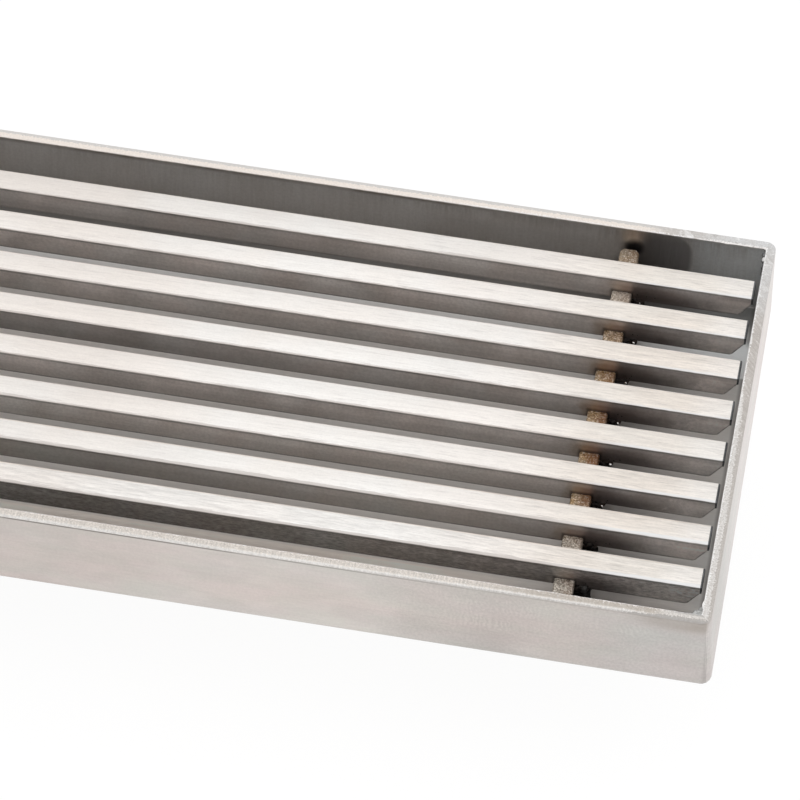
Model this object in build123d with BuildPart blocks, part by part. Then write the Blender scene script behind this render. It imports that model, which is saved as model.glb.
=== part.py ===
# Linear shower drain: a folded steel tray with a lift-out grate of straight bars and a round outlet below.
# X runs along the tray, Y across it and Z up. The origin is on the outlet's axis, at its free end.
import os
from math import radians, tan

from build123d import *

os.makedirs("parts", exist_ok=True)

# Folded tray
tray_length = 599.0  # over the two end walls, at the rim
tray_width = 100.0  # over the two long walls
tray_height = 20.0  # from the underside to the rim
sheet = 2.0
fold_inside = 0.5  # rounding inside the folds and the welded corner seams
fold_outside = 2.0  # and outside them
rim_round = 0.3  # edges of the ground rim
end_lean_near = 4.1  # degrees that an end wall leans out below its rim, at the -Y corner
end_lean_far = 1.4  # and at the +Y corner, so that the wall has a slight twist

# Outlet spigot, a tube set through the tray's floor and welded flush with it
outlet_diameter = 50.0
outlet_wall = 1.5
outlet_length = 30.0  # below the tray
outlet_weld = 1.0  # weld all round, between the tube and the edge of the floor's hole
outlet_chamfer = 0.5

# Grate bars
bar_count = 8
bar_width = 5.0
bar_depth = 5.5
bar_side_gap = 7.7  # from the outermost bars to the long walls
bar_recess = 1.5  # from the rim down to the bar tops
bar_edge = 0.35  # rounding of the top edges
end_clearance = 1.2  # from a bar's end to the end wall, at the rim
end_cut_run = 2.3  # slanting cut under each bar's end, along the bar
end_cut_rise = 3.5  # and up from its underside
end_cut_round = 1.2  # where the cut meets the underside

# Support bars, on edge across the tray, that carry the grate on the tray's floor
support_count = 4
support_width = 4.0
support_inset = 26.1  # from the bars' ends to the middle of the outermost support
side_clearance = 1.0  # from a support's end to the long wall
seat_depth = 1.85  # how far the bars sit down into a support
seat_clearance = 0.05  # at each side of a bar in its seat
support_edge = 0.5  # rounding of the top edges
support_end_chamfer = 0.8  # on the upright edges at the ends
foot_width = 14.0  # of the two feet that a support stands on
drain_height = 6.0  # of the water passage between the feet
drain_round = 3.0
weld_leg = 2.8  # flat-faced fillet welds under the bars, beside each support
weld_overhang = 0.4  # weld past each side of a bar

# Places worked out from the sizes above
tray_base = outlet_length
floor_top = tray_base + sheet
rim_top = tray_base + tray_height
rim_half = tray_length / 2
rim_inner_half = rim_half - sheet
bar_half = rim_inner_half - end_clearance
bar_top = rim_top - bar_recess
bar_bottom = bar_top - bar_depth
bar_reach = tray_width / 2 - sheet - bar_side_gap - bar_width / 2
bar_pitch = 2 * bar_reach / (bar_count - 1)
bar_places = [-bar_reach + i * bar_pitch for i in range(bar_count)]
support_half = tray_width / 2 - sheet - side_clearance
support_top = bar_bottom + seat_depth
support_end = bar_half - support_inset
support_step = 2 * support_end / (support_count - 1)
support_places = [-support_end + k * support_step for k in range(support_count)]
outlet_radius = outlet_diameter / 2
outlet_bore = outlet_radius - outlet_wall
outlet_hole = outlet_radius + outlet_weld


# Corners of the tray's side outline, drawn past its rim and its underside, with the lean at one long wall
def side_corners(half_length, lean):
    low = half_length + (tray_height + sheet) * tan(radians(lean))
    high = half_length - sheet * tan(radians(lean))
    bottom = tray_base - sheet
    top = rim_top + sheet
    return [(-low, bottom), (low, bottom), (high, top), (-high, top)]


# Space inside the tray's walls, lofted from one long wall to the other and cut level at the floor and the rim
with BuildPart() as tray_space:
    for side, lean in ((-1, end_lean_near), (1, end_lean_far)):
        with BuildSketch(Plane.XZ.offset(-side * (tray_width / 2 - sheet))):
            with BuildLine():
                Polyline(*side_corners(rim_inner_half, lean), close=True)
            make_face()
    loft(ruled=True)
    split(bisect_by=Plane.XY.offset(floor_top), keep=Keep.TOP)
    split(bisect_by=Plane.XY.offset(rim_top), keep=Keep.BOTTOM)
    mouth = tray_space.faces().sort_by(Axis.Z)[-1]
    fillet(tray_space.edges() - mouth.edges(), radius=fold_inside)

# Tray: the outside of the folded box, its seams and folds rounded, less the space inside and the outlet hole
with BuildPart() as channel_tray:
    for side, lean in ((-1, end_lean_near), (1, end_lean_far)):
        with BuildSketch(Plane.XZ.offset(-side * tray_width / 2)):
            with BuildLine():
                Polyline(*side_corners(rim_half, lean), close=True)
            make_face()
    loft(ruled=True)
    split(bisect_by=Plane.XY.offset(tray_base), keep=Keep.TOP)
    split(bisect_by=Plane.XY.offset(rim_top), keep=Keep.BOTTOM)
    rim_face = channel_tray.faces().sort_by(Axis.Z)[-1]
    fillet(channel_tray.edges() - rim_face.edges(), radius=fold_outside)
    add(tray_space.part, mode=Mode.SUBTRACT)
    rim_edges = channel_tray.faces().sort_by(Axis.Z)[-1].edges()
    fillet(rim_edges, radius=rim_round)
    with BuildSketch(Plane.XY.offset(tray_base)):
        Circle(outlet_hole)
    extrude(amount=sheet, mode=Mode.SUBTRACT)
channel_tray.part.label = "channel_tray"
export_step(channel_tray.part, "parts/channel_tray.step")

# Outlet spigot: half the section of the tube with its weld, flush with the floor, turned about the axis
with BuildPart() as outlet_spigot:
    with BuildSketch(Plane.XZ):
        with BuildLine():
            Polyline(
                (outlet_hole, floor_top),
                (outlet_hole, tray_base),
                (outlet_radius, tray_base - outlet_weld),
                (outlet_radius, outlet_chamfer),
                (outlet_radius - outlet_chamfer, 0),
                (outlet_bore, 0),
                (outlet_bore, floor_top),
                close=True,
            )
        make_face()
    revolve(axis=Axis.Z)
outlet_spigot.part.label = "outlet_spigot"
export_step(outlet_spigot.part, "parts/outlet_spigot.step")

# Grate bars: each from its side outline, with the slanting cuts under its ends
for number, across in enumerate(bar_places, start=1):
    with BuildPart() as grate_bar:
        with BuildSketch(Plane.XZ.offset(-across)) as side_outline:
            with BuildLine():
                Polyline(
                    (-bar_half + end_cut_run, bar_bottom),
                    (bar_half - end_cut_run, bar_bottom),
                    (bar_half, bar_bottom + end_cut_rise),
                    (bar_half, bar_top),
                    (-bar_half, bar_top),
                    (-bar_half, bar_bottom + end_cut_rise),
                    close=True,
                )
            make_face()
            fillet(side_outline.vertices().group_by(Axis.Y)[0], radius=end_cut_round)
        extrude(amount=bar_width / 2, both=True)
        fillet(grate_bar.faces().sort_by(Axis.Z)[-1].edges().filter_by(Axis.X), radius=bar_edge)
    grate_bar.part.label = f"grate_bar_{number}"
    export_step(grate_bar.part, f"parts/grate_bar_{number}.step")

# Support bars: a comb outline with a seat for each bar and a water passage between the feet
for number, along in enumerate(support_places, start=1):
    weld_side = 1 if along > 0 else -1
    with BuildPart() as support_bar:
        with BuildSketch(Plane.YZ.offset(along)):
            with Locations((0, floor_top)):
                Rectangle(2 * support_half, support_top - floor_top, align=(Align.CENTER, Align.MIN))
            with Locations(*[(across, bar_bottom) for across in bar_places]):
                Rectangle(
                    bar_width + 2 * seat_clearance,
                    seat_depth,
                    align=(Align.CENTER, Align.MIN),
                    mode=Mode.SUBTRACT,
                )
            with Locations((0, floor_top)):
                RectangleRounded(
                    2 * (support_half - foot_width),
                    2 * drain_height,
                    drain_round,
                    mode=Mode.SUBTRACT,
                )
        extrude(amount=support_width / 2, both=True)
        end_faces = support_bar.faces().filter_by(Axis.Y).group_by(Axis.Y)
        upright_edges = (end_faces[0] + end_faces[-1]).edges().filter_by(Axis.Z)
        chamfer(upright_edges, length=support_end_chamfer)
        land_edges = support_bar.faces().group_by(Axis.Z)[-1].edges()
        top_edges = land_edges.filter_by(Axis.Y)
        fillet(top_edges, radius=support_edge)
        face = along + weld_side * support_width / 2
        for across in bar_places:
            with BuildSketch(Plane.XZ.offset(-across)):
                with BuildLine():
                    Polyline(
                        (face + weld_side * weld_leg, bar_bottom),
                        (face, bar_bottom),
                        (face, bar_bottom - weld_leg),
                        close=True,
                    )
                make_face()
            extrude(amount=bar_width / 2 + weld_overhang, both=True)
    support_bar.part.label = f"support_bar_{number}"
    export_step(support_bar.part, f"parts/support_bar_{number}.step")
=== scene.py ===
import math
from types import SimpleNamespace

import bmesh
import bpy
from mathutils import Matrix, Vector, noise


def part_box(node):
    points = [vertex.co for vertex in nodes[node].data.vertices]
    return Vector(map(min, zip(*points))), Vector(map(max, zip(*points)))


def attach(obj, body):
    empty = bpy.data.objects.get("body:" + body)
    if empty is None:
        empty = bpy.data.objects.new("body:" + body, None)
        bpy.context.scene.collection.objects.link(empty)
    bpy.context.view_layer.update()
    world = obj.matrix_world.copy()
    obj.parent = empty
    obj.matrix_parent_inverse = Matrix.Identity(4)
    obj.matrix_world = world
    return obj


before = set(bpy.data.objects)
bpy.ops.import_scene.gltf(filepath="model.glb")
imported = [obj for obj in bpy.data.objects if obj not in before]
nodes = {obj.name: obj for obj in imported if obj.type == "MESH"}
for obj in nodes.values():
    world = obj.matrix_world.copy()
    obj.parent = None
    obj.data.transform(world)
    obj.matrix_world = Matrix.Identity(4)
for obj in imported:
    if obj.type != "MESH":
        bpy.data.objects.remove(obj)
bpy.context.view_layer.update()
scene = bpy.context.scene
mm = 0.001
print("frame loaded:", len(nodes), "nodes")

# sizes of the solids that their boxes don't give
sheet = 2.0 * mm
rimRound = 0.3 * mm
supportWidth = 4.0 * mm
endCutRise = 3.5 * mm
endCutRun = 2.3 * mm

# places read from the frame
trayLow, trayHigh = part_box("channel_tray")
barNames = sorted(n for n in nodes if n.startswith("grate_bar"))
supportNames = sorted(n for n in nodes if n.startswith("support_bar"))
barLow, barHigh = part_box(barNames[0])
rimTop = trayHigh.z
floorTop = trayLow.z + sheet
wallInside = trayHigh.y - sheet
barHalf = barHigh.x
barWidth = barHigh.y - barLow.y
rimEdge = [v.co.x for v in nodes["channel_tray"].data.vertices if v.co.z > rimTop - 0.1 * rimRound]
rimHalf = max(rimEdge) + rimRound
rimInside = rimHalf - sheet
barPlaces = [sum(corner.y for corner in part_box(name)) / 2 for name in barNames]
barPitch = barPlaces[1] - barPlaces[0]


# middle of a support, which its welds stand out from on the side of the nearer end
def supportPlace(name):
    low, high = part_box(name)
    return low.x + supportWidth / 2 if low.x > 0 else high.x - supportWidth / 2


supportPlaces = [supportPlace(name) for name in supportNames]
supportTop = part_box(supportNames[0])[1].z
supportStep = max(supportPlaces) * 2 / (len(supportPlaces) - 1)


# node helpers: a node joins the tree that its inputs come from
def addNode(kind, values, tree=None, **settings):
    tree = tree or next(value.id_data for value in values.values() if isinstance(value, bpy.types.NodeSocket))
    node = tree.nodes.new(kind)
    for name, setting in settings.items():
        setattr(node, name, setting)
    for socket, value in values.items():
        if isinstance(value, bpy.types.NodeSocket):
            tree.links.new(value, node.inputs[socket])
        else:
            node.inputs[socket].default_value = value
    return node


def mathNode(operation, *values):
    return addNode("ShaderNodeMath", dict(enumerate(values)), operation=operation).outputs[0]


def plus(first, second):
    return mathNode("ADD", first, second)


def minus(first, second):
    return mathNode("SUBTRACT", first, second)


def inverse(value):
    return minus(1.0, value)


def highest(first, second):
    return mathNode("MAXIMUM", first, second)


def times(*values):
    result = values[0]
    for value in values[1:]:
        result = mathNode("MULTIPLY", result, value)
    return result


# a value times a number, plus another value
def timesPlus(value, factor, base):
    return mathNode("MULTIPLY_ADD", value, factor, base)


# sum of several values, each times its share
def blend(values, shares):
    result = times(values[0], shares[0])
    for value, share in zip(values[1:], shares[1:]):
        result = plus(result, times(value, share))
    return result


def mixColour(factor, first, second, way="MIX"):
    first = (*first, 1.0) if isinstance(first, tuple) else first
    second = (*second, 1.0) if isinstance(second, tuple) else second
    values = {0: factor, 6: first, 7: second}
    return addNode("ShaderNodeMix", values, data_type="RGBA", blend_type=way).outputs[2]


def tint(factor, colour, tone):
    return mixColour(factor, colour, tone, "MULTIPLY")


def between(factor, first, second):
    return addNode("ShaderNodeMix", {0: factor, 2: first, 3: second}).outputs[0]


# colour made brighter or darker, all over or only by a share
def brighten(colour, factor, share=None):
    factor = factor if share is None else between(share, 1.0, factor)
    return addNode("ShaderNodeVectorMath", {0: colour, "Scale": factor}, operation="SCALE").outputs[0]


# soft step from one value to another over a stretch, which may run backwards
def ramp(value, start, end, before=0.0, after=1.0):
    values = {"Value": value, "From Min": start, "From Max": end, "To Min": before, "To Max": after}
    return addNode("ShaderNodeMapRange", values, interpolation_type="SMOOTHSTEP").outputs[0]


# one inside a stretch, nothing outside it, with soft limits
def band(value, start, full, fullEnd, end):
    return times(ramp(value, start, full), ramp(value, fullEnd, end, 1.0, 0.0))


# place in millimetres: x, y and z, and how far out along the tray and aside across it, from its middle
def inMillimetres(where):
    scaled = addNode("ShaderNodeVectorMath", {0: where, "Scale": 1 / mm}, operation="SCALE").outputs[0]
    x, y, z = addNode("ShaderNodeSeparateXYZ", {0: scaled}).outputs
    return SimpleNamespace(x=x, y=y, z=z, out=mathNode("ABSOLUTE", x), aside=mathNode("ABSOLUTE", y))


def moved(where, offset):
    return addNode("ShaderNodeVectorMath", {0: where, 1: offset}, operation="ADD").outputs[0]


def turned(where, turn):
    return addNode("ShaderNodeMapping", {"Vector": where, "Rotation": turn}).outputs[0]


def noiseField(where, density, detail, roughness, distortion=0.0):
    values = {
        "Vector": where,
        "Scale": density,
        "Detail": detail,
        "Roughness": roughness,
        "Distortion": distortion,
    }
    return addNode("ShaderNodeTexNoise", values).outputs[0]


def newGroup(name, inputs, outputs):
    group = bpy.data.node_groups.new(name, "ShaderNodeTree")
    for socket in inputs:
        kind = "NodeSocketVector" if socket in ("Vector", "Stretch") else "NodeSocketFloat"
        group.interface.new_socket(name=socket, in_out="INPUT", socket_type=kind)
    for socket in outputs:
        group.interface.new_socket(name=socket, in_out="OUTPUT", socket_type="NodeSocketFloat")
    given = group.nodes.new("NodeGroupInput").outputs
    result = group.nodes.new("NodeGroupOutput").inputs
    return group, given, result


def putOut(result, values):
    for name, value in values.items():
        value.id_data.links.new(value, result[name])


# parts of the noise fields' ranges that are spread over nought to one, and shifts that part two fields
fieldLook = {
    "streak": (0.3, 0.7),
    "cloud": (0.3, 0.7),
    "hue": (0.35, 0.65),
    "hueShift": (3.1, 1.7, 5.3),
    "grit": (0.32, 0.68),
    "glint": (0.64, 0.74),
    "glintShift": (1.3, 4.7, 2.9),
}

# brushGrain: fine lines, drawn out by a stretch given per metre in x, y and z
brushGrain, given, result = newGroup("brush_grain", ["Vector", "Stretch"], ["Streak"])
stretched = {0: given["Vector"], 1: given["Stretch"]}
drawn = addNode("ShaderNodeVectorMath", stretched, operation="MULTIPLY").outputs[0]
lines = noiseField(drawn, 1.0, detail=4.0, roughness=0.7)
putOut(result, {"Streak": ramp(lines, *fieldLook["streak"])})

# cloudyWear: soft patches of handling and wiping, light and dark, and a second field for their hue
cloudyWear, given, result = newGroup("cloudy_wear", ["Vector", "Density"], ["Cloud", "Hue"])
patches = noiseField(given["Vector"], given["Density"], detail=4.0, roughness=0.55, distortion=0.6)
shifted = moved(given["Vector"], fieldLook["hueShift"])
hues = noiseField(shifted, given["Density"], detail=2.0, roughness=0.5)
putOut(result, {"Cloud": ramp(patches, *fieldLook["cloud"]), "Hue": ramp(hues, *fieldLook["hue"])})

# gritGrain: grains of a ground or blasted face, and the few that catch the light, as painted glints
gritGrain, given, result = newGroup("grit_grain", ["Vector", "Density"], ["Grit", "Glint"])
grains = noiseField(given["Vector"], given["Density"], detail=2.0, roughness=0.6)
shifted = moved(given["Vector"], fieldLook["glintShift"])
glints = noiseField(shifted, given["Density"], detail=1.0, roughness=0.5)
putOut(result, {"Grit": ramp(grains, *fieldLook["grit"]), "Glint": ramp(glints, *fieldLook["glint"])})

# heatTint: straw, brown and black oxide beside the welds, by the offset from the nearest support's middle; on
# the bar sides the brown and black are partly painted shade
heatLook = {
    "outerShift": (30.0, 36.0, 0.0, 1.6),
    "nearReach": (-38.0, -32.0, 1.35, 1.0),
    "farReach": (32.0, 38.0, 1.0, 0.74),
    "density": 260.0,
    "raggedness": 5.0,
    "straw": (-5.0, -2.5, -1.0, 1.0),
    "brown": (-3.6, 0.9, 3.5, 20.0),
    "black": (-0.5, 2.5, 8.0, 19.0),
}
heatTint, given, result = newGroup("heat_tint", ["Vector"], ["Offset", "Straw", "Brown", "Black"])
spot = inMillimetres(given["Vector"])
offset = minus(mathNode("MODULO", spot.out, supportStep / mm), supportStep / mm / 2)
reach = times(ramp(spot.y, *heatLook["nearReach"]), ramp(spot.y, *heatLook["farReach"]))
spread = times(minus(offset, ramp(spot.aside, *heatLook["outerShift"])), reach)
ragged = minus(noiseField(given["Vector"], heatLook["density"], detail=3.0, roughness=0.6), 0.5)
raggedOffset = timesPlus(ragged, heatLook["raggedness"], spread)
putOut(result, {"Offset": offset})
putOut(result, {name.title(): band(raggedOffset, *heatLook[name]) for name in ("straw", "brown", "black")})


def useGroup(group, **values):
    return addNode("ShaderNodeGroup", values, node_tree=group).outputs


def streaks(where, stretch):
    return useGroup(brushGrain, Vector=where, Stretch=stretch)["Streak"]


def clouds(where, density):
    return useGroup(cloudyWear, Vector=where, Density=density)


def grit(where, density):
    return useGroup(gritGrain, Vector=where, Density=density)


def heat(where):
    return useGroup(heatTint, Vector=where)


# brushed steel: grain, clouds and any other field between two tones, warmer in patches
def brushedSteel(where, look, *others):
    grain = streaks(where, look["grain"])
    cloud, hue = clouds(where, look["clouds"])
    colour = mixColour(blend((grain, cloud, *others), look["shares"]), look["grey"], look["pale"])
    return grain, cloud, tint(times(hue, look["warmShare"]), colour, look["warm"])


# a steel material from a function that gives its colour, roughness, relief and the relief's depth
reliefStrength = 0.6


def makeSteel(name, finish, *values):
    material = bpy.data.materials.new(name)
    material.use_nodes = True
    tree = material.node_tree
    shader = tree.nodes["Principled BSDF"]
    shader.inputs["Metallic"].default_value = 1.0
    where = addNode("ShaderNodeTexCoord", {}, tree).outputs["Object"]
    colour, roughness, height, depth = finish(where, *values)
    bump = addNode("ShaderNodeBump", {"Height": height, "Strength": reliefStrength, "Distance": depth})
    tree.links.new(colour, shader.inputs["Base Color"])
    tree.links.new(roughness, shader.inputs["Roughness"])
    tree.links.new(bump.outputs[0], shader.inputs["Normal"])
    return material


print("finish groups ready")

# in the looks below a stretch is its start and end, then the values before and after it,
# and a band is its start, where it is full, where it is full no more, and its end

# tops of the grate bars, brushed along their length and warmer towards the ends
topLook = {
    "dull": (0.845, 0.82, 0.79),
    "bright": (0.985, 0.965, 0.935),
    "shares": (0.5, 0.3, 0.2),
    "grain": (240.0, 3000.0, 3000.0),
    "longGrain": (40.0, 1200.0, 1200.0),
    "clouds": 38.0,
    "warm": (1.0, 0.975, 0.96),
    "scratch": (170.0, 2500.0, 2500.0),
    "scratchDepth": (0.68, 1.0, 0.0, 0.6),
    "scratchedEnds": (200.0, 262.0, 0.35, 0.75),
    "scratchTone": (0.62, 0.59, 0.57),
    "grit": 2400.0,
    "gritTone": (0.975, 1.015),
    "strokes": (210.0, 2300.0, 2300.0),
    "strokeTone": (0.86, 1.08),
    "nearestBar": (-35.0, -33.0, 1.0, 0.0),
    "strokeEnds": (246.0, 264.0, 0.0, 0.75),
    "middle": (165.0, 210.0, 1.0, 0.0),
    "middleTone": (0.94, 0.925, 0.915),
    "farthestBar": (33.0, 35.0),
    "farthestMiddle": (245.0, 268.0, 1.0, 0.0),
    "farthestTone": 0.94,
    "warmEnds": (250.0, 276.0),
    "paleTips": (286.0, 294.0, 1.0, 0.4),
    "endTone": (0.92, 0.89, 0.855),
    "acrossTone": (-1.7, 1.7, 1.045, 0.97),
    "edgeShift": (-25.0, -15.0, 0.22, -0.1),
    "edgeBreaks": 0.35,
    "nearEdge": (0.55, 0.2),
    "farEdge": (0.4, 0.2, 0.0, 0.6),
    "edgeTone": (0.60, 0.555, 0.525),
    "endEdges": (262.0, 282.0),
    "endEdgeGlint": (0.84, 0.85, 0.86),
    "edgeShare": 0.75,
    "cream": (0.65, 0.25),
    "creamBars": (-25.0, -15.0, 1.0, 0.35),
    "creamTone": (0.88, 0.84, 0.79),
    "roughness": (0.3, 0.46),
    "depth": 0.03 * mm,
}


# distance in millimetres across the bar that the place is on, from its middle line
def acrossBar(spot):
    shifted = minus(spot.y, (barPlaces[0] - barPitch / 2) / mm)
    return minus(mathNode("MODULO", shifted, barPitch / mm), barPitch / 2 / mm)


def barTop(where):
    look = topLook
    spot = inMillimetres(where)
    fine = streaks(where, look["grain"])
    long = streaks(where, look["longGrain"])
    cloud, hue = clouds(where, look["clouds"])
    colour = mixColour(blend((fine, long, cloud), look["shares"]), look["dull"], look["bright"])
    colour = tint(hue, colour, look["warm"])
    scratch = ramp(streaks(where, look["scratch"]), *look["scratchDepth"])
    colour = mixColour(times(scratch, ramp(spot.out, *look["scratchedEnds"])), colour, look["scratchTone"])
    colour = brighten(colour, between(grit(where, look["grit"])["Grit"], *look["gritTone"]))
    # short strokes on the nearest bar and towards the ends
    lively = highest(ramp(spot.y, *look["nearestBar"]), ramp(spot.out, *look["strokeEnds"]))
    colour = brighten(colour, between(streaks(where, look["strokes"]), *look["strokeTone"]), lively)
    # tones along the bars
    colour = tint(ramp(spot.out, *look["middle"]), colour, look["middleTone"])
    farthest = times(ramp(spot.y, *look["farthestBar"]), ramp(spot.out, *look["farthestMiddle"]))
    colour = brighten(colour, look["farthestTone"], farthest)
    warmed = times(ramp(spot.out, *look["warmEnds"]), ramp(spot.out, *look["paleTips"]))
    colour = tint(warmed, colour, look["endTone"])
    # rounded edges are greyer than the flat, in broken lines, most on the near side, and cream on the far one
    across = acrossBar(spot)
    half = barWidth / 2 / mm
    broken = minus(plus(long, fine), 1.0)
    shift = ramp(spot.y, *look["edgeShift"])
    fromNear = timesPlus(broken, look["edgeBreaks"], minus(plus(across, half), shift))
    fromFar = minus(half, across)
    edge = highest(ramp(fromNear, *look["nearEdge"]), ramp(fromFar, *look["farEdge"]))
    colour = brighten(colour, ramp(across, *look["acrossTone"]))
    creamed = times(ramp(fromFar, *look["cream"]), ramp(spot.y, *look["creamBars"]))
    colour = tint(creamed, colour, look["creamTone"])
    # towards the ends the rounded edges are painted pale, as a highlight
    edgeTone = mixColour(ramp(spot.out, *look["endEdges"]), look["edgeTone"], look["endEdgeGlint"])
    colour = mixColour(times(edge, look["edgeShare"]), colour, edgeTone)
    return colour, between(fine, *look["roughness"]), fine, look["depth"]


# sides and undersides of the grate bars, left as drawn, heat tinted beside the welds, with painted light and
# shade
sideLook = {
    "grey": (0.56, 0.53, 0.51),
    "pale": (0.82, 0.785, 0.76),
    "shares": (0.3, 0.4, 0.3),
    "grain": (22.0, 900.0, 900.0),
    "clouds": 90.0,
    "grit": 1500.0,
    "warm": (0.98, 0.9, 0.87),
    "warmShare": 0.4,
    "litUpward": (44.0, 47.0, 0.97, 1.17),
    "lastStretch": (287.5, 292.0),
    "lastBelow": (46.4, 47.4, 1.0, 0.0),
    "lastTone": 1.22,
    "dullBars": [(0, 0.44, 0.69, 1.12), (1, 0.60, 0.77, 1.05), (4, 0.65, 0.88, 1.0)],
    "dullReach": (2.8, 3.2),
    "dullMiddle": (170.0, 245.0),
    "dullEnds": (272.0, 283.0),
    "nearestBar": (-38.0, -33.0),
    "strokes": (760.0, 2600.0, 2600.0),
    "strokeTone": (0.72, 1.28),
    "farthestBar": (31.0, 35.0),
    "farthestMiddle": (200.0, 235.0, 1.0, 0.0),
    "farthestTone": 0.86,
    "smudged": (3.0, 6.0, 9.0, 15.0),
    "smudge": (1.0, 0.93, 0.90),
    "smudgeClouds": 330.0,
    "smudgeDepth": (0.5, 0.9),
    "smudgeGrit": (0.2, 0.75),
    "scratch": (120.0, 120.0, 2000.0),
    "scratchTurn": (0.0, 0.5, 0.0),
    "scratchDepth": (0.55, 0.95),
    "scratchShares": (0.6, 0.3),
    "straw": (0.36, 0.255, 0.165),
    "brown": (0.16, 0.08, 0.06),
    "black": (0.035, 0.032, 0.032),
    "heatShares": (0.4, 0.58, 0.5),
    "heatNearest": (0.6, 1.0),
    "heatUpward": (46.3, 47.5, 1.0, 0.4),
    "blackUpward": (43.9, 46.6, 1.0, 0.0),
    "supportDarkBand": (-2.7, -2.0, 2.0, 2.7),
    "shadowUpward": (0.2, 1.0, 0.6, 0.0),
    "shade": (0.20, 0.18, 0.17),
    "shadeShares": (0.7, 0.3),
    "upperEdge": (0.95, 0.4),
    "lowerEdge": (0.1, 0.5, 1.0, 0.0),
    "cutEdge": (0.15, 0.7, 1.0, 0.0),
    "cutStart": (-0.8, 0.0),
    "roughness": (0.42, 0.6),
    "depth": 0.04 * mm,
}


def barSide(where):
    look = sideLook
    spot = inMillimetres(where)
    specks = grit(where, look["grit"])["Grit"]
    grain, cloud, colour = brushedSteel(where, look, specks)
    # lighter towards the top as painted light, and lighter in the last stretch
    colour = brighten(colour, ramp(spot.z, *look["litUpward"]))
    last = times(ramp(spot.out, *look["lastStretch"]), ramp(spot.z, *look["lastBelow"]))
    colour = brighten(colour, look["lastTone"], last)
    # some bars are duller, by a tone in the middle, one before the welds and one past them
    inner, outer = look["dullReach"]
    for order, middle, beforeWelds, pastWelds in look["dullBars"]:
        place = barPlaces[order] / mm
        onBar = band(spot.y, place - outer, place - inner, place + inner, place + outer)
        tone = ramp(spot.out, *look["dullMiddle"], middle, beforeWelds)
        tone = between(ramp(spot.out, *look["dullEnds"]), tone, pastWelds)
        colour = brighten(colour, tone, onBar)
    strokes = between(streaks(where, look["strokes"]), *look["strokeTone"])
    colour = brighten(colour, strokes, ramp(spot.y, *look["nearestBar"], 1.0, 0.0))
    farthest = times(ramp(spot.y, *look["farthestBar"]), ramp(spot.out, *look["farthestMiddle"]))
    colour = brighten(colour, look["farthestTone"], farthest)
    # whitish smudges and slanting scratches near the ends
    nearEnd = band(minus(barHalf / mm, spot.out), *look["smudged"])
    smear = ramp(clouds(where, look["smudgeClouds"])["Cloud"], *look["smudgeDepth"])
    colour = mixColour(times(nearEnd, smear, between(specks, *look["smudgeGrit"])), colour, look["smudge"])
    scratch = ramp(streaks(turned(where, look["scratchTurn"]), look["scratch"]), *look["scratchDepth"])
    scratched = times(nearEnd, scratch, ramp(spot.y, *look["nearestBar"], *look["scratchShares"]))
    colour = mixColour(scratched, colour, look["smudge"])
    # heat tint, deepest low down beside the welds, and partly painted shade there
    burnAndShade = heat(where)
    strawShare, brownShare, blackShare = look["heatShares"]
    tinted = times(ramp(spot.y, *look["nearestBar"], *look["heatNearest"]), ramp(spot.z, *look["heatUpward"]))
    colour = mixColour(times(tinted, burnAndShade["Straw"], strawShare), colour, look["straw"])
    colour = mixColour(times(tinted, burnAndShade["Brown"], brownShare), colour, look["brown"])
    low = ramp(spot.z, *look["blackUpward"])
    colour = mixColour(times(burnAndShade["Black"], low, blackShare), colour, look["black"])
    # painted shadow along the top of each support
    supportDark = ramp(minus(spot.z, supportTop / mm), *look["shadowUpward"])
    colour = mixColour(times(band(burnAndShade["Offset"], *look["supportDarkBand"]), supportDark), colour, look["black"])
    # darker lines along the upper and lower edges and along the slanting cuts
    fromBottom = minus(spot.z, barLow.z / mm)
    pastCut = minus(spot.out, (barHalf - endCutRun) / mm)
    fromCut = timesPlus(pastCut, -endCutRise / endCutRun, fromBottom)
    cutLine = times(ramp(fromCut, *look["cutEdge"]), ramp(pastCut, *look["cutStart"]))
    upper = ramp(minus(barHigh.z / mm, spot.z), *look["upperEdge"])
    shade = highest(highest(upper, ramp(fromBottom, *look["lowerEdge"])), cutLine)
    colour = mixColour(times(shade, between(grain, *look["shadeShares"])), colour, look["shade"])
    return colour, between(cloud, *look["roughness"]), grain, look["depth"]


# sheared ends of the bars, painted dark as shade in the gap at the end walls
endShadeLook = {
    "dark": (0.09, 0.092, 0.096),
    "pale": (0.26, 0.265, 0.27),
    "grain": (300.0, 350.0, 2600.0),
    "clouds": 500.0,
    "roughness": (0.4, 0.6),
    "depth": 0.05 * mm,
}


def barEnd(where):
    look = endShadeLook
    grain = streaks(where, look["grain"])
    cloud = clouds(where, look["clouds"])["Cloud"]
    colour = mixColour(times(grain, cloud), look["dark"], look["pale"])
    return colour, between(grain, *look["roughness"]), grain, look["depth"]


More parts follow.
